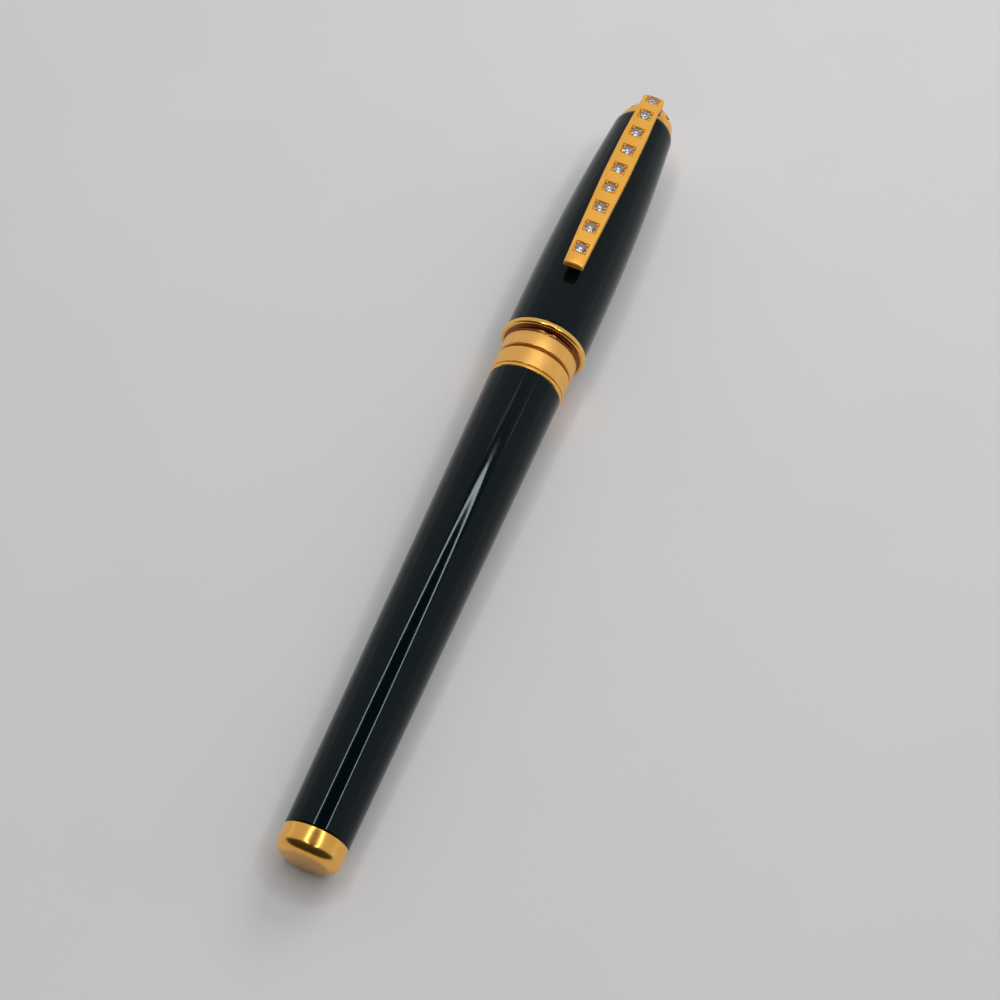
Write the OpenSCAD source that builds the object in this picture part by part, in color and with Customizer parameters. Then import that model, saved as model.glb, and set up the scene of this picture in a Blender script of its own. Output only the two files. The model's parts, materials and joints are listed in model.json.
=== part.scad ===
// Capped rollerball pen with a stone-set spring clip, lying along X with the clip up (+Z).
// The origin is the centre of the flat end face at the barrel end. Millimetres.
// The pen is laid out around its refill: lengths run on from it, diameters build outwards.

/* [Refill] */
// Overall length of the refill
refill_len = 110.5; // [92:0.5:134]
// Diameter of the refill's reservoir tube
refill_d = 6; // [5:0.1:7.4]
// Diameter of the slim neck of the refill
refill_neck_d = 4.2; // [3.4:0.1:4.8]
// Diameter of the metal tip
tip_d = 2.3; // [1.9:0.05:2.8]
// Diameter of the writing ball
ball_d = 0.7; // [0.5:0.05:1]
// How far the tip stands out of the nose cone
tip_out = 2.5; // [2:0.1:4]
// Wall of the reservoir tube
tube_wall = 0.3; // [0.2:0.05:0.5]

/* [Refill spring] */
// Fitted length of the spring
spring_len = 4; // [3:0.1:8]
// Number of coils
spring_turns = 5; // [3:1:8]
// Wire diameter
spring_wire_d = 0.4; // [0.3:0.05:0.5]

/* [Grip section] */
// Length of the black grip
grip_len = 26; // [21:0.2:32]
// Wall of the threaded bush around the refill
bush_wall = 0.7; // [0.55:0.05:1]
// How much the grip's back end stands inside the polished ring
grip_step = 0.15; // [0.05:0.05:0.4]
// How much the grip narrows to its waist, on the radius
grip_waist_depth = 0.7; // [0.3:0.05:0.75]
// How much it flares again at the nose cone, on the radius
grip_flare = 0.15; // [0:0.05:0.4]
// Width of the polished ring behind the grip
section_ring_len = 2; // [1.6:0.1:3]
// Length of the thread that holds the section
section_thread_len = 16; // [12:0.2:20]
// Length of the nose cone
nose_len = 7; // [5.8:0.1:9]

/* [Barrel] */
// Length of the polished end cap
end_cap_len = 3.6; // [2.8:0.1:6]
// Radius of the rounded edge of the end cap
end_cap_edge = 1.5; // [0.4:0.1:1.8]
// Length of the plug that closes the bore behind the refill
end_plug_len = 3.4; // [2.4:0.1:5]
// Diameter of the threaded stud on the end cap
end_stud_d = 3.2; // [2:0.1:4]
// Gap between the refill and the barrel's bore
bore_gap = 0.6; // [0.3:0.05:1]
// Wall of the barrel at its back end
back_wall = 0.9; // [0.6:0.05:1.5]
// Wall of the barrel at its front end
front_wall = 0.9; // [0.7:0.05:1.5]

/* [Barrel front] */
// Width of the polished ring at the front of the barrel
rim_len = 0.65; // [0.4:0.05:1.5]
// Width of the satin barrel collar
collar_len = 3; // [2:0.1:6]
// How far the two satin collars stand out of the barrel
collar_proud = 0.15; // [0.1:0.05:0.5]
// Width of the fine grooves beside the collars
seam = 0.15; // [0.1:0.01:0.25]
// Gap between cap and barrel collar when the cap is on
parting_gap = 0.4; // [0.3:0.1:1.2]
// Wall of the threaded insert in the barrel
insert_wall = 0.9; // [0.7:0.05:1.5]
// Length of the insert behind the collar's front face
insert_len = 19.5; // [17:0.1:26]
// How far the insert stands out of the collar
pilot_len = 2.5; // [2:0.1:3]

/* [Cap] */
// Width of the satin cap collar
cap_band_len = 2.5; // [1.9:0.1:5]
// Width of the polished neck between cap collar and bead
neck_len = 0.8; // [0.6:0.05:2]
// Depth of the neck below the collar
neck_depth = 0.25; // [0.05:0.05:0.4]
// Width of the polished bead at the mouth of the cap
bead_w = 1.1; // [0.9:0.05:1.6]
// Width of the flat land along the top of the bead
bead_land = 0.3; // [0.1:0.05:0.5]
// How far the bead stands out of the cap
bead_proud = 0.25; // [0.1:0.05:0.5]
// Wall of the cap at its mouth
cap_wall = 1; // [0.8:0.05:1.5]
// Distance from the mouth to the largest diameter
cap_belly_at = 11.5; // [6:0.5:16]
// How much the cap narrows from its belly to the rounded shoulder, on the radius
cap_drop = 1.43; // [1:0.01:2]
// How much the shoulder narrows to the top edge, on the radius
shoulder_drop = 0.4; // [0.2:0.05:0.8]
// Length of the rounded shoulder
cap_shoulder = 1.5; // [0.8:0.1:2.5]
// Thickness of the wall at the top of the cap
cap_end_wall = 1.5; // [1.2:0.1:3]
// Free length between the writing tip and the end of the inner cap
tip_room = 5.3; // [5:0.1:9]
// Wall of the inner cap
inner_cap_t = 0.4; // [0.3:0.05:0.5]

/* [Finial] */
// Height of the domed finial
finial_h = 4.9; // [4.6:0.1:7]
// Diameter of the screw that holds the finial
finial_screw_d = 2.4; // [1.8:0.1:2.9]

/* [Clip] */
// Distance from the free end of the clip to its bend
clip_arm_len = 35.6; // [29:0.1:42]
// Height of the clip's top face above the cap at the free end
clip_free_h = 2.67; // [2.2:0.01:4]
// Height of the clip's top face above the cap's shoulder at the bend
clip_bend_h = 1.57; // [1.45:0.01:2.2]
// How far the arm arches above the straight line between its ends
clip_arch = 0.45; // [0.35:0.05:1]
// Thickness of the arm
clip_t = 1.1; // [0.9:0.05:1.35]
// Width at the free end
clip_free_w = 3.05; // [2.9:0.05:4]
// Width at the widest place
clip_wide_w = 4; // [3.3:0.05:5]
// Width of the block at the top
clip_block_w = 3.5; // [2.9:0.05:4.2]
// Length of the sloping block beyond the bend
clip_block_len = 4.7; // [4.6:0.05:5.2]
// Downward slope of the block
clip_block_slope = 16; // [10:1:18]
// Diameter of the hinge pin
clip_pin_d = 0.9; // [0.7:0.05:1.1]

/* [Stones] */
// Number of stones on the arm; one more sits on the block
arm_stones = 8; // [4:1:8]
// Diameter of a stone
stone_d = 1.85; // [1.5:0.01:2.25]
// Rim of the square bright-cut recess around a stone
recess_rim = 0.2; // [0.1:0.05:0.3]
// Depth of the recess
recess_depth = 0.3; // [0.2:0.05:0.36]
// Distance from the free end to the first stone
first_stone = 3.35; // [2:0.05:5]
// Distance from the last stone on the arm to the bend
last_stone = 1.2; // [1:0.05:3]
// Distance from the bend to the stone on the block
block_stone = 3.3; // [2.8:0.05:3.4]

/* [Clearances] */
// Radial clearance of pieces that are fixed together
fixed_fit = 0.01; // [0.01:0.005:0.03]
// Radial clearance of pieces that turn or slide on each other
running_fit = 0.05; // [0.03:0.01:0.1]
// Radial clearance of pieces that pass freely
free_fit = 0.15; // [0.1:0.01:0.3]

/* [Hidden] */
$fn = 96;
GOLD = "goldenrod";
SATIN = "darkgoldenrod";
LACQUER = "#20262a";
STEEL = "silver";
BRASS = "#b5a642";
edge = 0.15;   // small bevel on the turned rings

// Radii, built outwards from the refill
refill_r = refill_d / 2;
refill_pass_r = refill_r + free_fit;
bore_r = refill_r + bore_gap;
back_r = bore_r + back_wall;
bush_r = refill_pass_r + bush_wall;
thread_r = bush_r + running_fit;
insert_r = thread_r + insert_wall;
front_r = insert_r + front_wall;
collar_r = front_r + collar_proud;
ring_r = insert_r + 0.05;
spigot_r = bush_r - 0.15;
insert_back_r = refill_pass_r + 0.2;
grip_back_r = ring_r - grip_step;
grip_waist_r = grip_back_r - grip_waist_depth;
grip_front_r = grip_waist_r + grip_flare;
nose_spigot_r = grip_waist_r - 0.55;
neck_r = refill_neck_d / 2;
tip_r = tip_d / 2;
ball_r = ball_d / 2;
cap_lip_r = ring_r + 2 * free_fit;
lip_wall = 0.3;
cap_bore_r = cap_lip_r + lip_wall;
cap_mouth_r = cap_bore_r + cap_wall;
cap_belly_r = cap_mouth_r + 0.03;
shoulder_r = cap_belly_r - cap_drop;
cap_top_r = shoulder_r - shoulder_drop;
cap_bore_end_r = shoulder_r - 0.85;
bead_r = cap_mouth_r + bead_proud;

// Places along X, from the end face to the tip of the finial
x_barrel = end_cap_len;
x_plug = x_barrel + end_plug_len;
x_stud = x_plug - 0.6;
x_refill = x_plug + spring_len;
x_tip = x_refill + refill_len;
x_nose_front = x_tip - tip_out;
x_grip_front = x_nose_front - nose_len;
x_ring_front = x_grip_front - grip_len;
x_pilot = x_ring_front - section_ring_len;
x_parting = x_pilot - pilot_len;
x_collar = x_parting - collar_len;
x_rim = x_collar - seam - rim_len;
barrel_len = x_rim - x_barrel;
x_insert = x_parting - insert_len;
x_cap = x_parting + parting_gap;
x_neck = x_cap + cap_band_len + seam;
x_bead = x_neck + neck_len;
x_shell = x_bead + bead_w;
inner_end_t = 0.8;   // closed end of the inner cap
screw_room = 3.6;    // space between the inner cap and the cap's end wall, for the screw head
x_inner_end = x_tip + tip_room + inner_end_t;
x_bore_end = x_inner_end + screw_room;
x_top = x_bore_end + cap_end_wall;
cap_len = x_top - x_shell;
x_apex = x_top + finial_h;

// Cap
x_bead_spigot = x_shell + 1.9;
x_inner = x_bead_spigot + free_fit;
x_belly = x_shell + cap_belly_at;
x_shoulder = x_top - cap_shoulder;
x_cone = x_shell + 0.68 * cap_len;
clutch_w = 1;        // width of the clutch ring
clutch_t = 0.3;      // its thickness
x_clutch = x_pilot + (section_ring_len - clutch_w) / 2;
washer_t = 0.3;
screw_head_t = 1.1;
screw_r = finial_screw_d / 2;

// Section and refill
x_bush = x_pilot - section_thread_len;
x_spigot = x_ring_front + 6;
nose_spigot_len = 5;
nose_spigot_start = x_grip_front - nose_spigot_len;
x_seat = x_grip_front - 2;
x_neck_front = x_nose_front - 4.4;
tip_insert = 4;
tip_cone_len = 1.9;
x_ball = x_tip - ball_r;
x_tip_rim = x_ball + 0.4 * ball_r;
end_plug_core = 5;
nose_core = 4;
refill_nose_len = 6;
x_tube = x_refill + 1;
x_tube_front = x_seat - refill_nose_len;

// Clip
x_bend = x_top - 1.15;
x_free = x_bend - clip_arm_len;
clip_free_z = outer_r(x_free) + clip_free_h;
clip_bend_z = shoulder_r + clip_bend_h;
pin_x = x_top + 1.9;
pin_z = cap_top_r - 1.75;
pin_r = clip_pin_d / 2;
tab_back = 1.2;      // the clip's tab reaches this far behind the pin,
tab_front = 1.05;    // and this far in front of it,
tab_gap = 0.1;       // with this gap to the walls of the finial's slot
tab_floor_z = pin_z - pin_r - 0.3;
slot_floor_z = tab_floor_z - 0.4;
block_drop_z = 0.9;
arm_chord = sqrt(pow(clip_arm_len, 2) + pow(clip_free_z - clip_bend_z, 2));
arm_r = (pow(arm_chord / 2, 2) + pow(clip_arch, 2)) / (2 * clip_arch);
arm_half = asin(arm_chord / 2 / arm_r);
arm_slope = atan((clip_bend_z - clip_free_z) / clip_arm_len);
arm_cx = (x_free + x_bend) / 2 + (arm_r - clip_arch) * sin(arm_slope);
arm_cz = (clip_free_z + clip_bend_z) / 2 - (arm_r - clip_arch) * cos(arm_slope);
arm_length = 2 * arm_half * PI / 180 * arm_r;

// Stones
stone_pitch = (arm_length - first_stone - last_stone) / (arm_stones - 1);
recess_w = stone_d + 2 * recess_rim;
stone_sink = 0.12;
crown_h = 0.3;
girdle_h = 0.06;
pavilion_h = 0.62;

// Radius of the lacquered cap at x: nearly straight to the belly, then a long curve
function outer_r(x) =
    x < x_belly
        ? cap_mouth_r + (cap_belly_r - cap_mouth_r) * (x - x_shell) / cap_belly_at
        : cap_belly_r - cap_drop * pow((x - x_belly) / (x_shoulder - x_belly), 2);

// Radius of the barrel at x
function barrel_r(x) = back_r + (front_r - back_r) * (x - x_barrel) / barrel_len;

// Points of a circular arc from angle a to angle b
function arc(cx, cy, r, a, b, n = 10) = [for (i = [0 : n]) [cx + r * cos(a + (b - a) * i / n),
                                                            cy + r * sin(a + (b - a) * i / n)]];

// Radius of the finial's dome at x
function dome_r(x) = cap_top_r * sqrt(max(0, 1 - pow((x - x_top) / finial_h, 2)));

// Radius of the cap's bore at x
function bore_at(x) =
    x < x_cone
        ? cap_bore_r
        : cap_bore_r + (cap_bore_end_r - cap_bore_r) * (x - x_cone) / (x_bore_end - x_cone);

// Angle of the arm's circle at distance s from the free end, and the point there, sunk by d
function arm_angle(s) = 90 + arm_slope + arm_half - s / arm_r * 180 / PI;
function arm_point(s, d = 0) = [arm_cx + (arm_r - d) * cos(arm_angle(s)),
                                arm_cz + (arm_r - d) * sin(arm_angle(s))];

// A turned piece: the outline's points are [radius, x]
module turned(points) rotate([0, 90, 0]) rotate_extrude() polygon(points);

// A plain tube between two places on the axis
module tube(x1, x2, r_out, r_in) turned([[r_in, x1], [r_out, x1], [r_out, x2], [r_in, x2]]);

// A rod between two places on the axis
module rod(x1, x2, r) translate([x1, 0, 0]) rotate([0, 90, 0]) cylinder(h = x2 - x1, r = r);

// A cut across the pen, along Y, at a place in the XZ plane
module cross_rod(x, z, r, length)
    translate([x, 0, z]) rotate([90, 0, 0]) cylinder(h = length, r = r, center = true);

// Puts a piece made at the origin on the clip's face, its own Z square to the face
module on_arm(s) {
    p = arm_point(s);
    translate([p[0], 0, p[1]]) rotate([0, 90 - arm_angle(s), 0]) children();
}
module on_block(s)
    translate([x_bend + s * cos(clip_block_slope), 0, clip_bend_z - s * sin(clip_block_slope)])
        rotate([0, clip_block_slope, 0]) children();
module on_clip(i) {
    if (i <= arm_stones) on_arm(first_stone + (i - 1) * stone_pitch) children();
    else on_block(block_stone) children();
}

module end_cap() color(GOLD) {
    face_r = back_r - end_cap_edge;
    turned(concat([[0, 0], [face_r, 0]], arc(face_r, end_cap_edge, end_cap_edge, -90, 0),
                  [[back_r, end_cap_len - seam], [back_r - seam, end_cap_len], [0, end_cap_len]]));
    rod(end_cap_len, x_stud, end_stud_d / 2);
}

module end_plug() color(BRASS) difference() {
    rod(x_barrel, x_plug, bore_r - fixed_fit);
    rod(x_barrel - 1, x_stud + 0.1, end_stud_d / 2 + fixed_fit);
}

module barrel_shell() color(LACQUER)
    turned([
        [bore_r, x_barrel],
        [barrel_r(x_barrel) - seam, x_barrel],
        [barrel_r(x_barrel), x_barrel + seam],
        [barrel_r(x_rim), x_rim],
        [insert_r + fixed_fit, x_rim],
        [insert_r + fixed_fit, x_insert],
        [bore_r, x_insert]
    ]);

module barrel_rim_ring() color(GOLD) {
    rim_r = collar_r - 0.05;
    turned([
        [insert_r + fixed_fit, x_rim],
        [rim_r - 0.1, x_rim],
        [rim_r, x_rim + edge],
        [rim_r, x_rim + rim_len],
        [rim_r - seam, x_rim + rim_len],
        [rim_r - seam, x_collar],
        [insert_r + fixed_fit, x_collar]
    ]);
}

module barrel_collar() color(SATIN)
    turned([
        [insert_r + fixed_fit, x_collar],
        [collar_r, x_collar],
        [collar_r, x_parting - edge],
        [collar_r - edge, x_parting],
        [insert_r + fixed_fit, x_parting]
    ]);

module barrel_insert() color(BRASS)
    turned([
        [insert_back_r, x_insert],
        [insert_r, x_insert],
        [insert_r, x_pilot],
        [thread_r, x_pilot],
        [thread_r, x_bush - 1.5],
        [insert_back_r, x_bush - 1.5]
    ]);

// One closed tube swept along a helix, between the end plug and the refill
module refill_spring() color(STEEL) {
    sides = 8;
    per_turn = 20;
    wire_r = spring_wire_d / 2;
    coil_r = refill_r - wire_r - free_fit;
    x1 = x_plug + wire_r + fixed_fit;
    x2 = x_refill - wire_r - fixed_fit;
    steps = spring_turns * per_turn;
    points = [
        for (i = [0 : steps]) for (j = [0 : sides - 1])
            let (a = 360 * i / per_turn, b = 360 * j / sides, r = coil_r + wire_r * cos(b))
                [x1 + (x2 - x1) * i / steps + wire_r * sin(b), r * cos(a), r * sin(a)]
    ];
    walls = [
        for (i = [0 : steps - 1]) for (j = [0 : sides - 1])
            let (k = (j + 1) % sides)
                [i * sides + j, i * sides + k, (i + 1) * sides + k, (i + 1) * sides + j]
    ];
    ends = [[for (j = [0 : sides - 1]) sides - 1 - j], [for (j = [0 : sides - 1]) steps * sides + j]];
    polyhedron(points, concat(walls, ends));
}

module section_bush() color(BRASS)
    turned([
        [refill_pass_r, x_bush],
        [bush_r, x_bush],
        [bush_r, x_pilot],
        [spigot_r, x_pilot],
        [spigot_r, x_spigot],
        [refill_pass_r, x_spigot]
    ]);

module section_ring() color(GOLD)
    turned([
        [spigot_r + fixed_fit, x_pilot],
        [ring_r - edge, x_pilot],
        [ring_r, x_pilot + edge],
        [ring_r, x_ring_front - edge],
        [ring_r - edge, x_ring_front],
        [spigot_r + fixed_fit, x_ring_front]
    ]);

// Radius of the grip: it narrows to a waist and flares a little at the nose cone
function grip_r(u) =
    u < 0.8
        ? grip_back_r - grip_waist_depth * sin(112.5 * u)
        : grip_waist_r + grip_flare * pow((u - 0.8) / 0.2, 2);

module grip_section() color(LACQUER)
    turned(concat(
        [[spigot_r + fixed_fit, x_ring_front]],
        [for (i = [0 : 20]) [grip_r(i / 20), x_ring_front + grip_len * i / 20]],
        [
            [nose_spigot_r + fixed_fit, x_grip_front],
            [nose_spigot_r + fixed_fit, nose_spigot_start],
            [refill_pass_r, nose_spigot_start],
            [refill_pass_r, x_spigot],
            [spigot_r + fixed_fit, x_spigot]
        ]
    ));

module nose_cone() color(GOLD) {
    tip_hole_r = tip_r + free_fit;
    rim_r = tip_hole_r + 0.4;
    neck_hole_r = neck_r + free_fit;
    turned(concat(
        [
            [refill_pass_r, nose_spigot_start],
            [nose_spigot_r, nose_spigot_start],
            [nose_spigot_r, x_grip_front]
        ],
        [for (i = [0 : 12]) [rim_r + (grip_front_r - rim_r) * pow(cos(90 * i / 12), 0.8),
                             x_grip_front + nose_len * i / 12]],
        [
            [tip_hole_r, x_nose_front],
            [tip_hole_r, x_neck_front + free_fit],
            [neck_hole_r, x_neck_front + free_fit],
            [neck_hole_r, x_seat],
            [refill_pass_r, x_seat]
        ]
    ));
}

module refill_end_plug() color("black") {
    rod(x_refill, x_tube, refill_r);
    rod(x_tube, x_tube + end_plug_core, refill_r - tube_wall - fixed_fit);
}

module refill_tube() color(STEEL) tube(x_tube, x_tube_front, refill_r, refill_r - tube_wall);

module ink_reservoir() color("navy") {
    x1 = x_tube + end_plug_core + fixed_fit;
    x2 = x_tube_front - nose_core - fixed_fit;
    rod(x1, x2, refill_r - tube_wall - fixed_fit);
}

module refill_nose() color("black") difference() {
    union() {
        rod(x_tube_front - nose_core, x_tube_front, refill_r - tube_wall - fixed_fit);
        rod(x_tube_front, x_seat, refill_r);
        rod(x_seat, x_neck_front, neck_r);
    }
    rod(x_neck_front - tip_insert, x_neck_front + 1, tip_r + fixed_fit);
}

module ball_tip() color(STEEL) difference() {
    turned([
        [0, x_neck_front - tip_insert],
        [tip_r, x_neck_front - tip_insert],
        [tip_r, x_tip - tip_cone_len],
        [ball_r + 0.08, x_tip_rim],
        [0, x_tip_rim]
    ]);
    translate([x_ball, 0, 0]) sphere(r = ball_r + running_fit / 2);
}

module writing_ball() color("gray") translate([x_ball, 0, 0]) sphere(r = ball_r);

// Split spring ring that grips the section and stays with it as the cap turns
module cap_clutch_ring() color(STEEL) difference() {
    tube(x_clutch, x_clutch + clutch_w, ring_r + running_fit + clutch_t, ring_r + running_fit);
    translate([x_clutch - 1, 0, -2 * ring_r]) cube([clutch_w + 2, 0.6, 2 * ring_r]);
}

module cap_collar() color(SATIN)
    turned([
        [cap_lip_r, x_cap],
        [collar_r - edge, x_cap],
        [collar_r, x_cap + edge],
        [collar_r, x_neck - seam],
        [cap_bore_r + 0.05 + fixed_fit, x_neck - seam],
        [cap_bore_r + 0.05 + fixed_fit, x_cap + 0.3],
        [cap_lip_r, x_cap + 0.3]
    ]);

module cap_bead_ring() color(GOLD) {
    groove_r = ring_r + running_fit + clutch_t + running_fit;
    cheek = (bead_w - bead_land) / 2;
    turned(concat(
        [
            [cap_lip_r, x_cap + 0.3],
            [cap_bore_r + 0.05, x_cap + 0.3],
            [cap_bore_r + 0.05, x_neck - seam],
            [collar_r - neck_depth, x_neck - seam],
            [collar_r - neck_depth, x_bead]
        ],
        arc(bead_r - cheek, x_bead + cheek, cheek, -90, 0),
        arc(bead_r - cheek, x_shell - cheek, cheek, 0, 90),
        [
            [cap_bore_r - fixed_fit, x_shell],
            [cap_bore_r - fixed_fit, x_bead_spigot],
            [cap_lip_r, x_bead_spigot],
            [cap_lip_r, x_clutch + clutch_w + running_fit],
            [groove_r, x_clutch + clutch_w + running_fit],
            [groove_r, x_clutch - running_fit],
            [cap_lip_r, x_clutch - running_fit]
        ]
    ));
}

module cap_shell() color(LACQUER) {
    turned(concat(
        [[cap_bore_r, x_shell]],
        [for (i = [0 : 28]) let (x = x_shell + (x_shoulder - x_shell) * i / 28) [outer_r(x), x]],
        [for (i = [1 : 6]) let (a = 90 * i / 6)
            [cap_top_r + shoulder_drop * cos(a), x_shoulder + cap_shoulder * sin(a)]],
        [
            [screw_r + free_fit, x_top],
            [screw_r + free_fit, x_bore_end],
            [cap_bore_end_r, x_bore_end],
            [cap_bore_r, x_cone]
        ]
    ));
}

module inner_cap() color("black")
    turned([
        [0, x_inner_end],
        [bore_at(x_inner_end) - fixed_fit, x_inner_end],
        [cap_bore_r - fixed_fit, x_cone],
        [cap_bore_r - fixed_fit, x_inner],
        [cap_bore_r - inner_cap_t, x_inner],
        [cap_bore_r - inner_cap_t, x_cone],
        [bore_at(x_inner_end - inner_end_t) - inner_cap_t, x_inner_end - inner_end_t],
        [0, x_inner_end - inner_end_t]
    ]);

module finial_screw() color(STEEL) difference() {
    union() {
        rod(x_bore_end - washer_t - screw_head_t, x_bore_end - washer_t, 2.8);
        rod(x_bore_end - washer_t, x_top + 1.5, screw_r);
    }
    translate([x_bore_end - washer_t - screw_head_t - 1, -0.3, -4]) cube([1.5, 0.6, 8]);
}

module lock_washer() color(STEEL)
    tube(x_bore_end - washer_t, x_bore_end, 3.2, screw_r + free_fit);

module finial() color(GOLD) {
    slot_w = clip_block_w + 2 * tab_gap;
    difference() {
        turned(concat([[0, x_top]], [for (i = [0 : 20]) let (a = 90 * i / 20)
            [cap_top_r * cos(a), x_top + finial_h * sin(a)]]));
        rod(x_top - 1, x_top + 1.7, screw_r + fixed_fit);
        translate([pin_x - tab_back - 2 * tab_gap, -slot_w / 2, slot_floor_z])
            cube([tab_back + tab_front + 5 * tab_gap, slot_w, 2 * cap_top_r]);
        cross_rod(pin_x, pin_z, pin_r + fixed_fit, 2 * cap_top_r);
    }
}

// Bent leaf under the toe of the clip, which presses the clip down on the cap
module clip_spring() color(STEEL) {
    leaf_t = 0.12;
    low = slot_floor_z + fixed_fit;
    high = tab_floor_z - leaf_t - fixed_fit;
    x1 = pin_x - tab_back + 0.1;
    x2 = pin_x + tab_front - 0.3;
    lip = high - 0.08;
    translate([0, clip_block_w / 2 - 0.2, 0]) rotate([90, 0, 0]) linear_extrude(clip_block_w - 0.4)
        polygon(concat(
            [[x1, low], [x1 + 0.4, low], [x2, high], [x2 + 0.3, lip]],
            [[x2 + 0.3, lip + leaf_t], [x2, high + leaf_t], [x1 + 0.4, low + leaf_t], [x1, low + leaf_t]]
        ));
}

module clip_pin() color(STEEL) {
    pin_half = sqrt(pow(dome_r(pin_x), 2) - pow(pin_z + pin_r, 2)) - 0.05;
    cross_rod(pin_x, pin_z, pin_r, 2 * pin_half);
}

// Side view of the clip: arched arm, sloping block, and the tab on the hinge pin
module clip_side() {
    block_x = x_bend + clip_block_len * cos(clip_block_slope);
    block_z = clip_bend_z - clip_block_len * sin(clip_block_slope);
    steps = 16;
    polygon(concat(
        [for (i = [0 : steps]) arm_point(arm_length * i / steps)],
        [
            [block_x, block_z],
            [block_x, block_z - block_drop_z],
            [pin_x + tab_front, block_z - block_drop_z],
            [pin_x + tab_front, tab_floor_z],
            [pin_x - tab_back, tab_floor_z],
            [pin_x - tab_back, clip_bend_z - clip_t - 0.25]
        ],
        [for (i = [0 : steps]) arm_point(arm_length * (1 - i / steps), clip_t)]
    ));
}

// Plan of the clip: it widens from the free end, then narrows to the block
module clip_plan() {
    x_wide = x_free + 0.56 * clip_arm_len;
    x_narrow = x_bend - 6;
    half = [
        [x_free - 1, clip_free_w / 2],
        [x_wide, clip_wide_w / 2],
        [x_narrow, clip_wide_w / 2 - 0.05],
        [x_bend, clip_block_w / 2],
        [x_apex, clip_block_w / 2]
    ];
    polygon(concat(half, [for (i = [len(half) - 1 : -1 : 0]) [half[i][0], -half[i][1]]]));
}

// Lower half of a stone, grown by gap: the girdle and the pointed pavilion
function pavilion(gap) = [[stone_d / 2 + gap, -girdle_h], [0.08 + gap, -pavilion_h], [0, -pavilion_h]];

// Square recess with a round seat for one stone
module stone_seat() {
    seat_r = stone_d / 2 + fixed_fit;
    translate([-recess_w / 2, -recess_w / 2, -recess_depth]) cube([recess_w, recess_w, 2]);
    translate([0, 0, -stone_sink]) rotate_extrude()
        polygon(concat([[0, 2], [seat_r, 2]], pavilion(fixed_fit)));
}

module clip() color(SATIN) difference() {
    intersection() {
        translate([0, 5, 0]) rotate([90, 0, 0]) linear_extrude(10) clip_side();
        linear_extrude(20) clip_plan();
    }
    for (i = [1 : arm_stones + 1]) on_clip(i) stone_seat();
    cross_rod(pin_x, pin_z, pin_r + running_fit, 10);
}

// Round brilliant: flat table, crown, girdle and pointed pavilion
module clip_stone(i) color("white") on_clip(i) translate([0, 0, -stone_sink]) rotate_extrude()
    polygon(concat([[0, crown_h], [stone_d * 0.3, crown_h], [stone_d / 2, 0]], pavilion(0)));

end_cap();
end_plug();
barrel_shell();
barrel_rim_ring();
barrel_collar();
barrel_insert();
refill_spring();
section_bush();
section_ring();
grip_section();
nose_cone();
refill_end_plug();
refill_tube();
ink_reservoir();
refill_nose();
ball_tip();
writing_ball();
cap_clutch_ring();
cap_collar();
cap_bead_ring();
cap_shell();
inner_cap();
finial_screw();
lock_washer();
finial();
clip_spring();
clip_pin();
clip();
for (i = [1 : arm_stones + 1]) clip_stone(i);
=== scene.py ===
"""Looks of a capped rollerball pen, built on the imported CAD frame.

Metres. X runs along the pen from the barrel's end face to the finial, and +Z is up, through the clip.
"""

import json
import math

import bmesh
import bpy
from mathutils import Matrix, Vector
from mathutils.bvhtree import BVHTree


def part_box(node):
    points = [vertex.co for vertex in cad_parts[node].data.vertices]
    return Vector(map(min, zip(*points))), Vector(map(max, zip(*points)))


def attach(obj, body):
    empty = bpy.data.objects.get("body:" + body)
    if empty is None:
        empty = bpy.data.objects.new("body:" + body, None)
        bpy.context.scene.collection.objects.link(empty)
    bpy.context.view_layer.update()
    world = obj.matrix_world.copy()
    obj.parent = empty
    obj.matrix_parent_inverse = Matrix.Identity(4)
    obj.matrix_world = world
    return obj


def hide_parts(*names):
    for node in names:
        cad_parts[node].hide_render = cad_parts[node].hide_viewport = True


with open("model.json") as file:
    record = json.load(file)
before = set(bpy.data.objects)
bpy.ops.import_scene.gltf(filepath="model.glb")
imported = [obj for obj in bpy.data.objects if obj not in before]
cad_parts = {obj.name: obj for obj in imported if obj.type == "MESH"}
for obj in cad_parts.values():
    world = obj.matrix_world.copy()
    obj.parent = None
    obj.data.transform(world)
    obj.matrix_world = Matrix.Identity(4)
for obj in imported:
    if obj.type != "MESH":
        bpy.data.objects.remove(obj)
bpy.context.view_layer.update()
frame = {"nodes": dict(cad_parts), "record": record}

MM = 0.001
SEGMENTS = 192                     # facets round a turned piece
BODY_OF = {n: body for body, nodes in frame["record"]["behaviour"]["bodies"].items() for n in nodes}
SLOT_OF = {s["node"]: s["material_slot"] for s in frame["record"]["subparts"]}


# ---------------------------------------------------------------- camera, floor and light

CAMERA_AT = Vector((-0.05445, -0.02864, 0.20905))
CAMERA_TARGET = Vector((0.05892, -0.00356, 0.0))
CAMERA_UP = Vector((0.80161, 0.35926, 0.47785))
CAMERA_LENS = 60.09                # mm
SENSOR_WIDTH = 36                  # mm

FLOOR_REACH = 2.0
FLOOR_BACK = -0.32                 # the paper ends behind the camera, where the room is dark
BEAD_CONTACT = 0.0041              # from the bead ring's end to the top of its bead
EDGE_CONTACT = 1.1 * MM            # from the end face to where the end cap touches the paper

RING_CENTRE = Vector((0.135, -0.04, 0.6))
RING_RADIUS_X = 0.222
RING_RADIUS_Y = 0.24
RING_OPEN_BELOW_X = -0.03          # the ring is open towards the camera
RING_WIDTH = 0.026
RING_LAMPS = 24
RING_RADIANCE = 17.0


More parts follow.
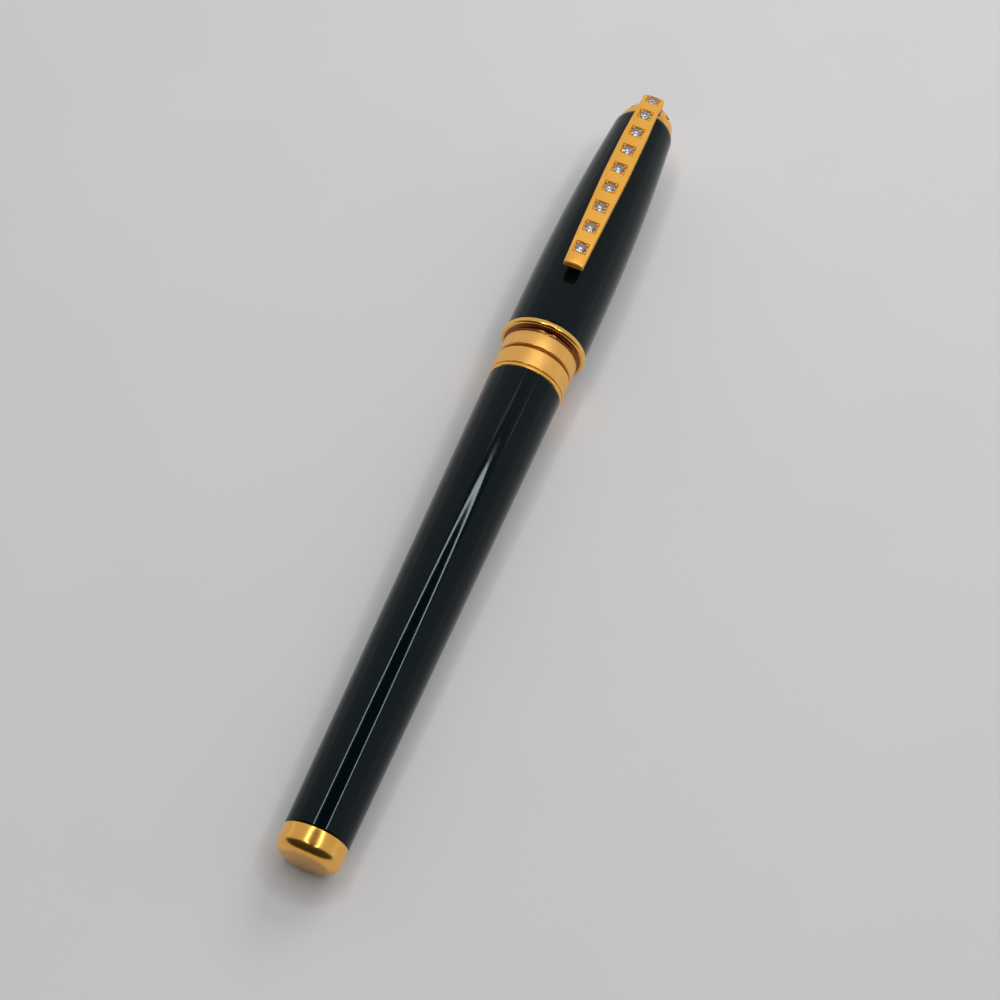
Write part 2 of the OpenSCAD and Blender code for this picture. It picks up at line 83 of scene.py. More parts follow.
def make_camera():
    forward = (CAMERA_TARGET - CAMERA_AT).normalized()
    right = forward.cross(CAMERA_UP).normalized()
    up = right.cross(forward)
    camera = bpy.data.objects.new("camera", bpy.data.cameras.new("camera"))
    bpy.context.scene.collection.objects.link(camera)
    camera.data.lens = CAMERA_LENS
    camera.data.sensor_width = SENSOR_WIDTH
    camera.data.clip_start = 0.01
    camera.data.clip_end = 20
    turn = Matrix((right, up, -forward)).transposed()
    camera.matrix_world = Matrix.Translation(CAMERA_AT) @ turn.to_4x4()
    bpy.context.scene.camera = camera


def make_floor():
    """The pen rests on the cap's bead and on the edge of its end cap, so the floor slopes a little."""
    end_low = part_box("end_cap")[0]
    bead_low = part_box("cap_bead_ring")[0]
    bead_x = bead_low.x + BEAD_CONTACT
    edge_x = end_low.x + EDGE_CONTACT
    slope = (bead_low.z - end_low.z) / (bead_x - edge_x)
    height = end_low.z - 0.005 * MM
    back, side = FLOOR_BACK, FLOOR_REACH
    corners = [(back, -side), (side, -side), (side, side), (back, side)]
    mesh = bpy.data.meshes.new("floor")
    mesh.from_pydata([(x, y, height + slope * (x - edge_x)) for x, y in corners], [], [(0, 1, 2, 3)])
    floor = bpy.data.objects.new("floor", mesh)
    bpy.context.scene.collection.objects.link(floor)
    mesh.materials.append(floor_paper())


def area_light(name, place, size_x, size_y, radiance, turn=0.0, target=None, glossy=True):
    light = bpy.data.lights.new(name, "AREA")
    light.shape = "RECTANGLE"
    light.size = size_x
    light.size_y = size_y
    light.energy = radiance * math.pi * size_x * size_y
    lamp = bpy.data.objects.new(name, light)
    bpy.context.scene.collection.objects.link(lamp)
    rotation = Matrix.Rotation(turn, 4, "Z")
    if target is not None:
        rotation = (target - place).to_track_quat("-Z", "Y").to_matrix().to_4x4() @ rotation
    lamp.matrix_world = Matrix.Translation(place) @ rotation
    lamp.visible_camera = False
    lamp.visible_glossy = glossy


def make_lights():
    """A ring lamp above the pen, two dim strips beyond it, and soft fill that only matt parts feel."""
    step = 2 * math.pi / RING_LAMPS
    for i in range(RING_LAMPS):
        spoke = Vector((RING_RADIUS_X * math.cos(i * step), RING_RADIUS_Y * math.sin(i * step), 0))
        along = Vector((-RING_RADIUS_X * math.sin(i * step), RING_RADIUS_Y * math.cos(i * step), 0))
        if RING_CENTRE.x + spoke.x < RING_OPEN_BELOW_X:
            continue
        turn = math.atan2(along.y, along.x)
        length = along.length * step * 1.03
        area_light(f"ring_{i}", RING_CENTRE + spoke, length, RING_WIDTH, RING_RADIANCE, turn)
    area_light("strip_left", Vector((0.411, 0.134, 0.6)), 0.103, 0.03, 1.3, math.atan2(-0.099, 0.026))
    area_light("strip_right", Vector((0.451, -0.336, 0.6)), 0.063, 0.03, 1.3, math.atan2(-0.035, 0.052))
    fills = (
        ("fill_ahead", Vector((0.5, -0.08, 0.35)), 2.6, Vector((0.24, 0, 0))),
        ("fill_behind", Vector((-0.35, -0.06, 0.25)), 0.8, Vector((-0.02, 0, 0))),
    )
    for name, place, radiance, target in fills:
        area_light(name, place, 0.3, 0.3, radiance, target=target, glossy=False)


def make_world():
    """A dim room: dark behind the camera and straight above, lighter ahead and to both sides."""
    world = bpy.data.worlds.new("room")
    bpy.context.scene.world = world
    world.use_nodes = True
    tree = world.node_tree
    tree.nodes.clear()
    where = tree.nodes.new("ShaderNodeTexCoord")
    split = tree.nodes.new("ShaderNodeSeparateXYZ")
    tree.links.new(where.outputs["Generated"], split.inputs[0])

    def ramp(value, low, high, dark, light):
        node = tree.nodes.new("ShaderNodeMapRange")
        node.interpolation_type = "SMOOTHSTEP"
        tree.links.new(value, node.inputs["Value"])
        node.inputs["From Min"].default_value = low
        node.inputs["From Max"].default_value = high
        node.inputs["To Min"].default_value = dark
        node.inputs["To Max"].default_value = light
        return node.outputs["Result"]

    def math_node(operation, a, b):
        node = tree.nodes.new("ShaderNodeMath")
        node.operation = operation
        for socket, value in zip(node.inputs, (a, b)):
            if isinstance(value, (int, float)):
                socket.default_value = value
            else:
                tree.links.new(value, socket)
        return node.outputs[0]

    ahead = ramp(split.outputs["X"], -0.12, 0.08, 0.015, 1.0)
    across = math_node("DIVIDE", split.outputs["Y"], math_node("MAXIMUM", split.outputs["Z"], 0.05))
    offset = math_node("ABSOLUTE", math_node("ADD", across, 0.09), 0)
    above = ramp(offset, 0.22, 0.5, 0.07, 1.0)
    along = math_node("DIVIDE", split.outputs["X"], math_node("MAXIMUM", split.outputs["Z"], 0.05))
    above = math_node("MAXIMUM", above, ramp(along, 0.45, 0.65, 0.0, 1.0))
    horizon = ramp(split.outputs["Z"], 0.0, 0.3, 0.74, 0.56)
    strength = math_node("MULTIPLY", math_node("MULTIPLY", ahead, above), horizon)
    background = tree.nodes.new("ShaderNodeBackground")
    background.inputs["Color"].default_value = (0.96, 0.99, 1.0, 1)
    tree.links.new(strength, background.inputs["Strength"])
    output = tree.nodes.new("ShaderNodeOutputWorld")
    tree.links.new(background.outputs[0], output.inputs["Surface"])


# ---------------------------------------------------------------- materials

class Look:
    """A Principled material and short calls that feed its sockets from procedural textures."""

    def __init__(self, name, colour, roughness, metallic=0.0, **sockets):
        self.material = bpy.data.materials.new(name)
        self.material.use_nodes = True
        self.tree = self.material.node_tree
        self.bsdf = self.tree.nodes["Principled BSDF"]
        self.set("Base Color", (*colour, 1))
        self.set("Roughness", roughness)
        self.set("Metallic", metallic)
        for socket, value in sockets.items():
            self.set(socket.replace("_", " "), value)

    def set(self, socket, value):
        self.bsdf.inputs[socket].default_value = value

    def link(self, source, target):
        self.tree.links.new(source, target)

    def noise(self, scale, detail=3.0, stretch=(1, 1, 1), roughness=0.5):
        """Noise over the piece; scale counts cells to a metre and stretch squeezes it along an axis."""
        where = self.tree.nodes.new("ShaderNodeTexCoord")
        mapping = self.tree.nodes.new("ShaderNodeMapping")
        mapping.inputs["Scale"].default_value = stretch
        texture = self.tree.nodes.new("ShaderNodeTexNoise")
        texture.inputs["Scale"].default_value = scale
        texture.inputs["Detail"].default_value = detail
        texture.inputs["Roughness"].default_value = roughness
        self.link(where.outputs["Object"], mapping.inputs["Vector"])
        self.link(mapping.outputs["Vector"], texture.inputs["Vector"])
        return texture.outputs["Fac"]

    def spread(self, value, low, high, start=0.3, end=0.7):
        node = self.tree.nodes.new("ShaderNodeMapRange")
        node.inputs["From Min"].default_value = start
        node.inputs["From Max"].default_value = end
        node.inputs["To Min"].default_value = low
        node.inputs["To Max"].default_value = high
        self.link(value, node.inputs["Value"])
        return node.outputs["Result"]

    def vary_roughness(self, value, low, high):
        self.link(self.spread(value, low, high), self.bsdf.inputs["Roughness"])

    def vary_colour(self, value, dark, light):
        mix = self.tree.nodes.new("ShaderNodeMix")
        mix.data_type = "RGBA"
        self.link(self.spread(value, 0, 1), mix.inputs["Factor"])
        mix.inputs["A"].default_value = (*dark, 1)
        mix.inputs["B"].default_value = (*light, 1)
        self.link(mix.outputs["Result"], self.bsdf.inputs["Base Color"])

    def bump(self, value, depth, strength=1.0):
        node = self.tree.nodes.new("ShaderNodeBump")
        node.inputs["Distance"].default_value = depth
        node.inputs["Strength"].default_value = strength
        self.link(value, node.inputs["Height"])
        self.link(node.outputs["Normal"], self.bsdf.inputs["Normal"])


TURNING = (1, 0.02, 0.02)          # marks that run round the pen
GILT_DARK = (1.0, 0.49, 0.09)
GILT_LIGHT = (1.0, 0.56, 0.13)
# the colour of the painted shade in the groove beside the bead
PAINTED_GROOVE_SHADE = (0.24, 0.08, 0.025)


def floor_paper():
    look = Look("floor_paper", (0.78, 0.77, 0.775), 0.75)
    look.set("Specular IOR Level", 0.2)
    look.vary_colour(look.noise(40, 4), (0.77, 0.76, 0.765), (0.785, 0.775, 0.78))
    look.bump(look.noise(900, 4), 0.00004, 0.4)
    return look.material


def black_lacquer():
    look = Look("black_lacquer", (0.0018, 0.0032, 0.0042), 0.06, Specular_IOR_Level=0.22)
    look.set("Specular Tint", (0.80, 0.97, 1.0, 1))
    look.vary_roughness(look.noise(260, 5), 0.035, 0.085)
    look.vary_colour(look.noise(90, 4), (0.0012, 0.0034, 0.0044), (0.0020, 0.0046, 0.0058))
    look.bump(look.noise(1400, 2, stretch=(0.3, 1, 1)), 0.00000025)
    return look.material


def gilt(name):
    look = Look(name, GILT_LIGHT, 0.2, metallic=0.93)
    look.vary_roughness(look.noise(500, 5), 0.16, 0.24)
    look.bump(look.noise(9000, 2, stretch=TURNING), 0.0000006)
    return look


def polished_gilt():
    look = gilt("polished_gilt")
    look.vary_colour(look.noise(350, 3), GILT_DARK, GILT_LIGHT)
    return look.material


def bead_gilt():
    """Polished gilt with painted shade in the groove beside the bead, but not inside the cap's mouth."""
    look = gilt("bead_gilt")
    where = look.tree.nodes.new("ShaderNodeTexCoord")
    across = look.tree.nodes.new("ShaderNodeVectorMath")
    across.operation = "MULTIPLY"
    across.inputs[1].default_value = (0, 1, 1)
    look.link(where.outputs["Object"], across.inputs[0])
    radius = look.tree.nodes.new("ShaderNodeVectorMath")
    radius.operation = "LENGTH"
    look.link(across.outputs["Vector"], radius.inputs[0])
    split = look.tree.nodes.new("ShaderNodeSeparateXYZ")
    look.link(where.outputs["Object"], split.inputs[0])
    mouth_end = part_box("cap_bead_ring")[0].x
    # the mask is low on the groove floor, where the painted shade goes, and high on the raised bead and
    # inside the mouth
    raised = look.spread(radius.outputs["Value"], 0, 1, 5.9 * MM, 6.35 * MM)
    in_mouth = look.spread(split.outputs["X"], 1, 0, mouth_end + 0.2 * MM, mouth_end + 0.6 * MM)
    unshaded = look.tree.nodes.new("ShaderNodeMath")
    unshaded.operation = "MAXIMUM"
    look.link(raised, unshaded.inputs[0])
    look.link(in_mouth, unshaded.inputs[1])
    # painted shade in the groove, polished gilt elsewhere
    look.vary_colour(unshaded.outputs[0], PAINTED_GROOVE_SHADE, GILT_LIGHT)
    return look.material


def satin_gilt():
    look = Look("satin_gilt", GILT_LIGHT, 0.34, metallic=0.66)
    look.vary_colour(look.noise(350, 3), (1.0, 0.49, 0.10), (1.0, 0.55, 0.14))
    look.vary_roughness(look.noise(14000, 3, stretch=TURNING), 0.3, 0.38)
    look.bump(look.noise(16000, 3, stretch=TURNING), 0.000004)
    return look.material


def clip_gilt():
    look = Look("clip_gilt", GILT_LIGHT, 0.4, metallic=0.5)
    look.vary_colour(look.noise(400, 3), (1.0, 0.46, 0.05), (1.0, 0.52, 0.08))
    look.vary_roughness(look.noise(2500, 5, stretch=(0.2, 1, 1)), 0.33, 0.46)
    look.bump(look.noise(7000, 3, stretch=(0.1, 1, 1)), 0.000002)
    return look.material


def raw_brass():
    look = Look("raw_brass", (0.80, 0.56, 0.24), 0.3, metallic=1.0)
    look.vary_colour(look.noise(500, 4), (0.66, 0.44, 0.18), (0.84, 0.60, 0.28))
    look.vary_roughness(look.noise(9000, 3, stretch=TURNING), 0.22, 0.4)
    look.bump(look.noise(9000, 3, stretch=TURNING), 0.000004)
    return look.material


def spring_steel():
    look = Look("spring_steel", (0.60, 0.61, 0.62), 0.28, metallic=1.0)
    look.vary_colour(look.noise(700, 4), (0.50, 0.51, 0.53), (0.66, 0.66, 0.67))
    look.vary_roughness(look.noise(4000, 4), 0.2, 0.36)
    look.bump(look.noise(6000, 3), 0.000002)
    return look.material


def black_grip():
    look = Look("black_grip", (0.004, 0.0045, 0.005), 0.28, Specular_IOR_Level=0.4)
    look.vary_colour(look.noise(200, 4), (0.003, 0.0035, 0.004), (0.006, 0.0065, 0.007))
    look.vary_roughness(look.noise(900, 5), 0.2, 0.34)
    look.bump(look.noise(5000, 3), 0.000003)
    return look.material


def refill_plastic():
    look = Look("refill_plastic", (0.01, 0.01, 0.012), 0.4)
    look.vary_colour(look.noise(300, 3), (0.008, 0.008, 0.01), (0.014, 0.014, 0.016))
    look.vary_roughness(look.noise(1500, 4), 0.32, 0.5)
    look.bump(look.noise(3000, 3), 0.000004)
    return look.material


def refill_metal():
    look = Look("refill_metal", (0.66, 0.66, 0.67), 0.25, metallic=1.0)
    look.vary_colour(look.noise(400, 3), (0.60, 0.60, 0.61), (0.70, 0.70, 0.70))
    look.vary_roughness(look.noise(6000, 3, stretch=TURNING), 0.18, 0.34)
    look.bump(look.noise(8000, 3, stretch=TURNING), 0.000002)
    return look.material


def ink_core():
    look = Look("ink_core", (0.005, 0.006, 0.02), 0.8)
    look.vary_colour(look.noise(2000, 4), (0.004, 0.005, 0.016), (0.008, 0.01, 0.03))
    look.vary_roughness(look.noise(3000, 4), 0.65, 0.95)
    look.bump(look.noise(5000, 4), 0.00001)
    return look.material


def clear_stone():
    look = Look("clear_stone", (1.0, 1.0, 1.0), 0.0, IOR=2.3, Transmission_Weight=0.92)
    look.vary_colour(look.noise(1500, 2), (0.97, 0.97, 0.98), (1.0, 1.0, 1.0))
    look.vary_roughness(look.noise(3000, 3), 0.0, 0.03)
    return look.material


MATERIAL_MAKERS = (
    black_lacquer, polished_gilt, bead_gilt, satin_gilt, clip_gilt, raw_brass, spring_steel,
    black_grip, refill_plastic, refill_metal, ink_core, clear_stone,
)
MATERIALS = {}


# ---------------------------------------------------------------- mesh helpers

def add_piece(name, mesh, body, slot, extra_slots=()):
    """Links a mesh as a piece that rides on a body and takes its finish from the record's slot."""
    piece = bpy.data.objects.new(name, mesh)
    bpy.context.scene.collection.objects.link(piece)
    for key in (slot, *extra_slots):
        mesh.materials.append(MATERIALS[key])
    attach(piece, body)
    return piece


def finish_mesh(bm, name, smooth=True, sharp_deg=35):
    bmesh.ops.recalc_face_normals(bm, faces=bm.faces)
    mesh = bpy.data.meshes.new(name)
    bm.to_mesh(mesh)
    bm.free()
    if smooth:
        mesh.shade_smooth()
        mesh.set_sharp_from_angle(angle=math.radians(sharp_deg))
    return mesh


def weigh_normals(piece):
    """Large faces keep their own direction where a fine bevel meets them."""
    modifier = piece.modifiers.new("weighted_normals", "WEIGHTED_NORMAL")
    modifier.keep_sharp = True


def turned_outline(node):
    """The outline of a turned CAD node as (x, radius) points in metres, in order round its half section."""
    mesh = frame["nodes"][node].data
    keys = [(round(v.co.x * 1e6), round(math.hypot(v.co.y, v.co.z) * 1e6)) for v in mesh.vertices]
    near = {}
    for edge in mesh.edges:
        a, b = (keys[i] for i in edge.vertices)
        if a != b:
            near.setdefault(a, set()).add(b)
            near.setdefault(b, set()).add(a)
    ends = [k for k, others in near.items() if len(others) == 1]
    walk = [min(ends or near)]
    while True:
        onward = [k for k in near[walk[-1]] if k not in walk]
        if not onward:
            break
        walk.append(max(onward, key=lambda k: k[1]) if len(walk) == 1 else onward[0])
    points = [(x * 1e-6, r * 1e-6) for x, r in walk]
    if ends:
        start = [(points[0][0], 0.0)] * (points[0][1] > 0)
        end = [(points[-1][0], 0.0)] * (points[-1][1] > 0)
        points = start + points + end
    return points


def soften(outline, radius, steps=4, least_turn=14):
    """Rounds an outline's corners. Returns the points, and for each whether a strip of rounding follows."""
    points, rounding = [], []
    count = len(outline)
    for i, here in enumerate(outline):
        before, after = Vector(outline[i - 1]), Vector(outline[(i + 1) % count])
        here = Vector(here)
        a, b = before - here, after - here
        turn = math.pi - a.angle(b) if a.length and b.length else 0
        if here.y < 1e-7 or math.degrees(turn) < least_turn:
            points.append(here)
            rounding.append(False)
            continue
        cut = min(radius * math.tan(turn / 2), 0.42 * a.length, 0.42 * b.length)
        start, end = here + a.normalized() * cut, here + b.normalized() * cut
        for k in range(steps + 1):
            u = k / steps
            points.append(start * (1 - u) ** 2 + here * (2 * u * (1 - u)) + end * u ** 2)
            rounding.append(k < steps)
    return points, rounding


def lathe(name, points, rounding, segments=SEGMENTS):
    """Spins an outline round the X axis. Strips marked as rounding get the piece's second material."""
    bm = bmesh.new()
    rings = []
    for p in points:
        if p[1] < 1e-7:
            rings.append([bm.verts.new((p[0], 0, 0))])
            continue
        angles = (2 * math.pi * k / segments for k in range(segments))
        rings.append([bm.verts.new((p[0], p[1] * math.cos(a), p[1] * math.sin(a))) for a in angles])
    for i, ring in enumerate(rings):
        other = rings[(i + 1) % len(rings)]
        if len(ring) == 1 and len(other) == 1:
            continue
        for k in range(segments):
            j = (k + 1) % segments
            corners = [ring[k % len(ring)], ring[j % len(ring)], other[j % len(other)], other[k % len(other)]]
            face = bm.faces.new(list(dict.fromkeys(corners)))
            face.material_index = int(rounding[i])
    return finish_mesh(bm, name)


def with_cove(outline, steps=8):
    """The outline with the sharp foot of the bead filled by a hollow curve, as the neck runs up into it."""
    feet = []
    for i, (x, r) in enumerate(outline):
        (x0, r0), (x1, r1) = outline[i - 1], outline[(i + 1) % len(outline)]
        flat_before, steep_after = abs(r0 - r) < 1e-6, abs(x1 - x) < 1e-6 and r1 > r
        if flat_before and steep_after and x0 < x:
            feet.append((r, i))
    r, foot = max(feet)
    start, corner, end = (Vector(outline[foot + k]) for k in (-1, 0, 1))
    start = start.lerp(corner, 0.35)
    curve = []
    for k in range(steps + 1):
        u = k / steps
        curve.append(tuple(start * (1 - u) ** 2 + corner * (2 * u * (1 - u)) + end * u ** 2))
    return outline[:foot] + curve + outline[foot + 2:]


def turned_piece(node, edge=0.05 * MM, edge_slot=None):
    """Replaces a turned CAD node by a fine lathe of the same outline with rounded edges."""
    slot = SLOT_OF[node]
    outline = turned_outline(node)
    if node == "cap_bead_ring":
        outline = with_cove(outline)
    points, rounding = soften(outline, edge)
    mesh = lathe(node + "_turned", points, rounding)
    piece = add_piece(node + "_turned", mesh, BODY_OF[node], slot, [edge_slot or slot])
    # the bead ring takes the gilt with painted shade in its groove on all its faces
    if node == "cap_bead_ring":
        for k in range(len(mesh.materials)):
            mesh.materials[k] = MATERIALS["bead_gilt"]
    weigh_normals(piece)
    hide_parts(node)


# ---------------------------------------------------------------- finial, clip and stones

def solid_between(sections):
    """A solid through sections of equal point counts, closed by its first and last section."""
    bm = bmesh.new()
    rings = [[bm.verts.new(p) for p in section] for section in sections]
    count = len(rings[0])
    for a, b in zip(rings, rings[1:]):
        for k in range(count):
            j = (k + 1) % count
            bm.faces.new((a[k], a[j], b[j], b[k]))
    bm.faces.new(rings[0])
    bm.faces.new(list(reversed(rings[-1])))
    return bm


def cut(piece, tools):
    """Takes the tools, joined in one collection, out of the piece for good."""
    group = bpy.data.collections.new(piece.name + "_tools")
    for tool in tools:
        group.objects.link(tool)
    modifier = piece.modifiers.new("cut", "BOOLEAN")
    modifier.operand_type = "COLLECTION"
    modifier.collection = group
    modifier.solver = "EXACT"
    bpy.context.view_layer.update()
    solid = bpy.data.meshes.new_from_object(piece.evaluated_get(bpy.context.evaluated_depsgraph_get()))
    piece.modifiers.clear()
    piece.data = solid
    for tool in tools:
        bpy.data.objects.remove(tool)
    bpy.data.collections.remove(group)


def tool_object(bm, name):
    bmesh.ops.recalc_face_normals(bm, faces=bm.faces)
    mesh = bpy.data.meshes.new(name)
    bm.to_mesh(mesh)
    bm.free()
    return bpy.data.objects.new(name, mesh)


def pin_hole_tool(clearance, half_length, sides=64):
    """A round bar on the clip pin's axis, wider than the pin by the clearance all round."""
    radius = PIN_RADIUS + clearance
    angles = [2 * math.pi * k / sides for k in range(sides)]
    circle = [(PIN_CENTRE.x + radius * math.cos(a), PIN_CENTRE.z + radius * math.sin(a)) for a in angles]
    sections = [[(x, y, z) for x, z in circle] for y in (-half_length, half_length)]
    return tool_object(solid_between(sections), "pin_hole")


def box_tool(low, high):
    bm = bmesh.new()
    bmesh.ops.create_cube(bm, size=1)
    centre = (low + high) / 2
    size = high - low
    for v in bm.verts:
        v.co = Vector(centre[i] + v.co[i] * size[i] for i in range(3))
    return tool_object(bm, "slot")


PIN_LOW, PIN_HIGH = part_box("clip_pin")
PIN_CENTRE = (PIN_LOW + PIN_HIGH) / 2
PIN_RADIUS = (PIN_HIGH.z - PIN_LOW.z) / 2
CLIP_LOW, CLIP_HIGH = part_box("clip")
SPRING_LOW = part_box("clip_spring")[0]
BEND_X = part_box("cap_shell")[1].x - 1.15 * MM
STONE_RADIUS = 0.925 * MM


def finial_piece():
    """The domed end of the cap, with the slot that takes the clip's tab."""
    low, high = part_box("finial")
    radius = high.z
    outline = [(low.x, 0.0)]
    steps = 40
    for k in range(steps + 1):
        a = math.pi / 2 * k / steps
        outline.append((low.x + (high.x - low.x) * math.sin(a), radius * math.cos(a)))
    points = soften(outline, 0.08 * MM)[0]
    mesh = lathe("finial_dome", points, [False] * len(points))
    piece = add_piece("finial_dome", mesh, BODY_OF["finial"], SLOT_OF["finial"])
    half = 1.85 * MM
    slot_low = Vector((PIN_CENTRE.x - 1.4 * MM, -half, SPRING_LOW.z - 0.01 * MM))
    slot_high = Vector((PIN_CENTRE.x + 1.35 * MM, half, 9 * MM))
    bore_radius = 1.52 * MM
    bore_start = low.x - 1 * MM
    bore_end = low.x + 1.7 * MM
    bore = [(bore_start, 0.0), (bore_start, bore_radius), (bore_end, bore_radius), (bore_end, 0.0)]
    tools = [box_tool(slot_low, slot_high)]
    tools.append(pin_hole_tool(0.01 * MM, 6 * MM))
    tools.append(bpy.data.objects.new("bore", lathe("bore", bore, [False] * 4, 48)))
    cut(piece, tools)
    smooth_again(piece, 25)
    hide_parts("finial")


def smooth_again(piece, sharp_deg):
    piece.data.shade_smooth()
    piece.data.set_sharp_from_angle(angle=math.radians(sharp_deg))
    weigh_normals(piece)


def probe(tree, x, y, from_z, down):
    hit = tree.ray_cast(Vector((x, y, from_z)), Vector((0, 0, -1 if down else 1)))[0]
    return hit.z if hit else None


def clip_profile():
    """Stations along the clip, read off the CAD clip: (x, top, bottom, half width)."""
    source = frame["nodes"]["clip"].data
    tree = BVHTree.FromPolygons([v.co for v in source.vertices], [list(f.vertices) for f in source.polygons])
    low, high = CLIP_LOW, CLIP_HIGH
    tab_back, tab_front = PIN_CENTRE.x - 1.2 * MM, PIN_CENTRE.x + 1.05 * MM
    places = [low.x + 0.03 * MM + (high.x - low.x - 0.035 * MM) * k / 170 for k in range(171)]
    places += [low.x + d * MM for d in (0.06, 0.1, 0.15, 0.2, 0.27, 0.35, 0.45)]
    places += [high.x - d * MM for d in (0.01, 0.03, 0.07, 0.12, 0.18, 0.28)]
    places += [tab_back - 0.01 * MM, tab_back + 0.01 * MM, tab_front - 0.01 * MM, tab_front + 0.01 * MM]
    stations = []
    for x in sorted(places):
        top = probe(tree, x, 1.3 * MM, 20 * MM, True)
        bottom = probe(tree, x, 1.3 * MM, -5 * MM, False)
        side = tree.ray_cast(Vector((x, 10 * MM, top - 0.2 * MM)), Vector((0, -1, 0)))[0]
        stations.append((x, top, bottom, side.y))
    return stations


def rounding_drop(distance, radius):
    """How far a rounded corner of this radius falls away at a distance from its end."""
    short = max(0.0, radius - distance)
    return radius - math.sqrt(max(0.0, radius ** 2 - short ** 2))


def clip_section(station, ends):
    """One cross-section of the clip: a gently crowned top, softened edges and a flat underside."""
    x, top, bottom, half = station
    from_free, from_block = x - ends[0], ends[1] - x
    fade = min(1.0, from_free / (5 * MM))
    crown = (0.32 - 0.22 * fade * fade * (3 - 2 * fade)) * MM
    lean = max(0.0, 1 - from_free / (0.95 * MM))
    crease = max(0.0, 1 - abs(x - BEND_X) / (0.6 * MM))
    top -= 0.11 * MM * lean ** 2 + 0.04 * MM * crease ** 2
    top -= rounding_drop(from_free, 0.22 * MM) + rounding_drop(from_block, 0.4 * MM)
    half -= rounding_drop(from_free, 0.2 * MM) + rounding_drop(from_block, 0.7 * MM)
    bevel = 0.13 * MM
    across = half - bevel
    points = [(x, -half, bottom), (x, half, bottom)]
    points.append((x, half, top - crown - bevel))
    points.append((x, half - 0.3 * bevel, top - crown - 0.3 * bevel))
    steps = 14
    for k in range(steps + 1):
        y = across - 2 * across * k / steps
        points.append((x, y, top - crown * (y / half) ** 2))
    points.append((x, -half + 0.3 * bevel, top - crown - 0.3 * bevel))
    points.append((x, -half, top - crown - bevel))
    return points


def stone_places():
    """Centre at the girdle and upward direction of each stone, read off the CAD stones."""
    places = []
    for name in sorted(n for n in frame["nodes"] if n.startswith("clip_stone_")):
        mesh = frame["nodes"][name].data
        widest = max(v.co.y for v in mesh.vertices)
        rim = [v.co for v in mesh.vertices if v.co.y > widest - 0.001 * MM]
        centre = sum(rim, Vector()) / len(rim)
        centre.y = 0
        tip = min((v.co for v in mesh.vertices), key=lambda p: p.z)
        low = [v.co for v in mesh.vertices if (v.co - tip).length < 0.17 * MM]
        tip = sum(low, Vector()) / len(low)
        tip.y = 0
        places.append((name, centre, (centre - tip).normalized()))
    return places


def upright(centre, up):
    """Placement whose Z is the stone's axis and whose X runs along the clip."""
    across = Vector((0, 1, 0))
    return Matrix.Translation(centre) @ Matrix((across.cross(up), across, up)).transposed().to_4x4()


def recess_tool(place):
    """A square bright-cut recess with leaning walls."""
    outer, inner = 1.125 * MM, 1.02 * MM
    sections = []
    for half, z in ((outer + 0.35 * MM, 1.2 * MM), (outer, 0.13 * MM), (inner, -0.15 * MM)):
        corners = ((-half, -half), (half, -half), (half, half), (-half, half))
        sections.append([place @ Vector((a, b, z)) for a, b in corners])
    return tool_object(solid_between(sections), "recess")


def seat_tool(place, sides=48):
    """The round seat under a stone, straight at the girdle and then a cone."""
    angles = [2 * math.pi * k / sides for k in range(sides)]
    sections = []
    for r, z in ((0.94, 0.5), (0.94, -0.03), (0.1, -0.62)):
        circle = [Vector((r * MM * math.cos(a), r * MM * math.sin(a), z * MM)) for a in angles]
        sections.append([place @ p for p in circle])
    return tool_object(solid_between(sections), "seat")


def clip_piece(places):
    stations = clip_profile()
    ends = (CLIP_LOW.x, CLIP_HIGH.x)
    bm = solid_between([clip_section(s, ends) for s in stations])
    piece = add_piece("clip_bar", finish_mesh(bm, "clip_bar"), BODY_OF["clip"], SLOT_OF["clip"])
    tools = [pin_hole_tool(0.05 * MM, 4 * MM)]
    for _, centre, up in places:
        place = upright(centre, up)
        tools += [recess_tool(place), seat_tool(place)]
    cut(piece, tools)
    smooth_again(piece, 22)
    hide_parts("clip")


def bead_row(places):
    """Four raised beads of metal at the corners of each recess, which hold the stone."""
    bm = bmesh.new()
    for _, centre, up in places:
        for a in (-0.8 * MM, 0.8 * MM):
            for b in (-0.8 * MM, 0.8 * MM):
                place = upright(centre, up) @ Matrix.Translation((a, b, -0.02 * MM))
                place = place @ Matrix.Diagonal((0.24 * MM, 0.24 * MM, 0.17 * MM, 1))
                bmesh.ops.create_uvsphere(bm, u_segments=20, v_segments=12, radius=1, matrix=place)
    add_piece("stone_beads", finish_mesh(bm, "stone_beads"), BODY_OF["clip"], SLOT_OF["clip"])


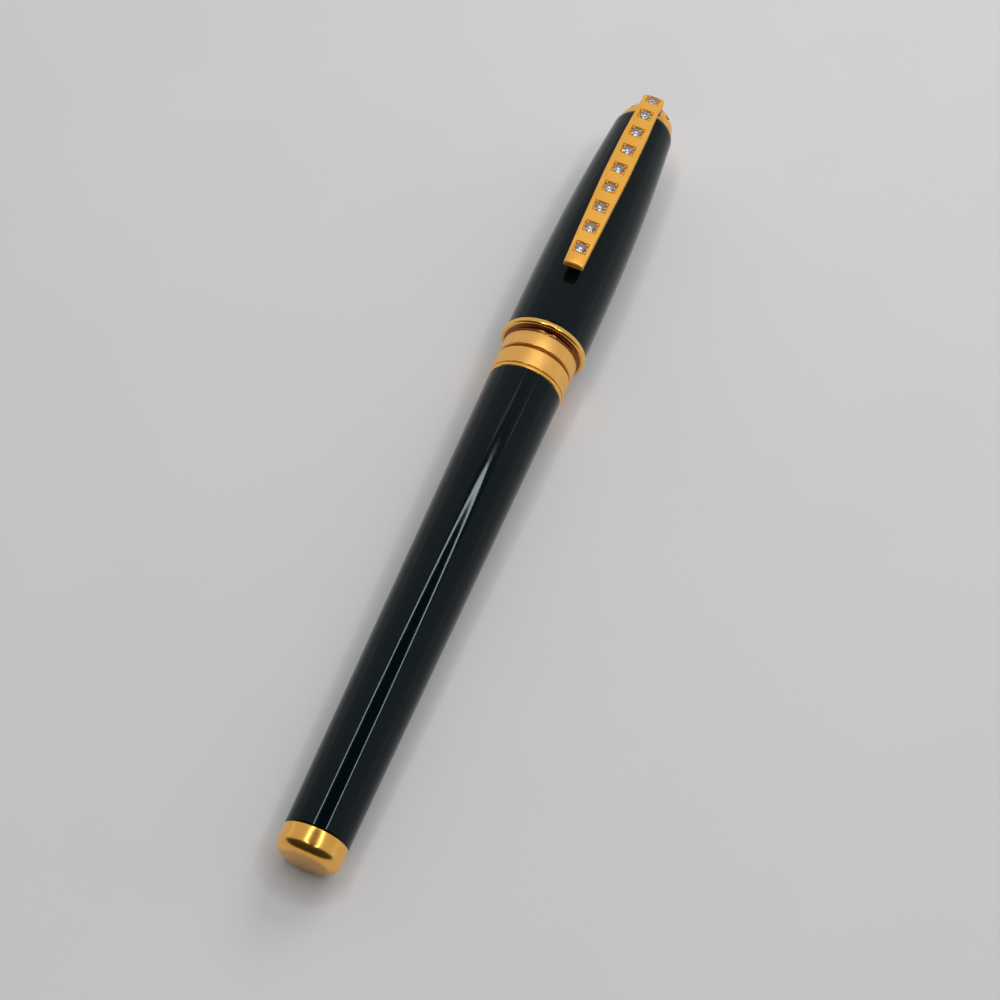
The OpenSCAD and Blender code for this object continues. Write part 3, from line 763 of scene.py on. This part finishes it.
def brilliant(name, centre, up):
    """A round brilliant of 57 flat facets: table, stars, kites, girdle and pointed pavilion."""
    radius = STONE_RADIUS
    girdle, crown, depth = 0.03 * MM, 0.33 * MM, -0.59 * MM
    table, star, lower = 0.58 * radius, 0.8 * radius, 0.26 * radius
    bend = math.cos(math.pi / 8)
    star_z = girdle + (crown - girdle) * (radius - star * bend) / (radius - table)
    lower_z = depth + (-girdle - depth) * lower * bend / radius
    place = upright(centre, up)
    bm = bmesh.new()

    def ring(r, z, count, offset):
        angles = (2 * math.pi * (k + offset) / count for k in range(count))
        return [bm.verts.new(place @ Vector((r * math.cos(a), r * math.sin(a), z))) for a in angles]

    tables = ring(table, crown, 8, 0)
    stars = ring(star, star_z, 8, 0.5)
    upper = ring(radius, girdle, 16, 0)
    under = ring(radius, -girdle, 16, 0)
    lowers = ring(lower, lower_z, 8, 0.5)
    tip = bm.verts.new(place @ Vector((0, 0, depth)))
    bm.faces.new(tables)
    for k in range(8):
        after, before, point, middle = (k + 1) % 8, (k - 1) % 8, 2 * k, 2 * k + 1
        onward = (point + 2) % 16
        bm.faces.new((tables[k], tables[after], stars[k]))
        bm.faces.new((tables[k], stars[k], upper[point], stars[before]))
        bm.faces.new((stars[k], upper[point], upper[middle]))
        bm.faces.new((stars[k], upper[middle], upper[onward]))
        bm.faces.new((lowers[k], under[middle], under[point]))
        bm.faces.new((lowers[k], under[onward], under[middle]))
        bm.faces.new((tip, lowers[k], under[point], lowers[before]))
    for k in range(16):
        j = (k + 1) % 16
        bm.faces.new((upper[k], upper[j], under[j], under[k]))
    mesh = finish_mesh(bm, name + "_cut", smooth=False)
    piece = add_piece(name + "_cut", mesh, BODY_OF[name], SLOT_OF[name])
    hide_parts(name)


# ---------------------------------------------------------------- the scene

TURNED_NODES = {
    "end_cap": 0.06, "end_plug": 0.1, "barrel_shell": 0.05, "barrel_rim_ring": 0.05, "barrel_collar": 0.05,
    "barrel_insert": 0.08, "section_ring": 0.06, "nose_cone": 0.05,
    "grip_section": 0.05, "refill_end_plug": 0.15, "refill_tube": 0.05, "ink_reservoir": 0.1,
    "refill_nose": 0.12, "ball_tip": 0.03, "cap_collar": 0.05, "cap_bead_ring": 0.04, "cap_shell": 0.06,
    "inner_cap": 0.08, "lock_washer": 0.05, "section_bush": 0.05,
}
SATIN_EDGES = {"barrel_collar": "polished_gilt", "cap_collar": "polished_gilt"}

bpy.context.scene.view_settings.view_transform = "Standard"
for maker in MATERIAL_MAKERS:
    MATERIALS[maker.__name__] = maker()
make_camera()
make_floor()
make_lights()
make_world()
for node, edge in TURNED_NODES.items():
    turned_piece(node, edge * MM, SATIN_EDGES.get(node))
finial_piece()
stones = stone_places()
clip_piece(stones)
bead_row(stones)
for name, centre, up in stones:
    brilliant(name, centre, up)
for name, piece in frame["nodes"].items():
    piece.data.materials.clear()
    piece.data.materials.append(MATERIALS[SLOT_OF[name]])
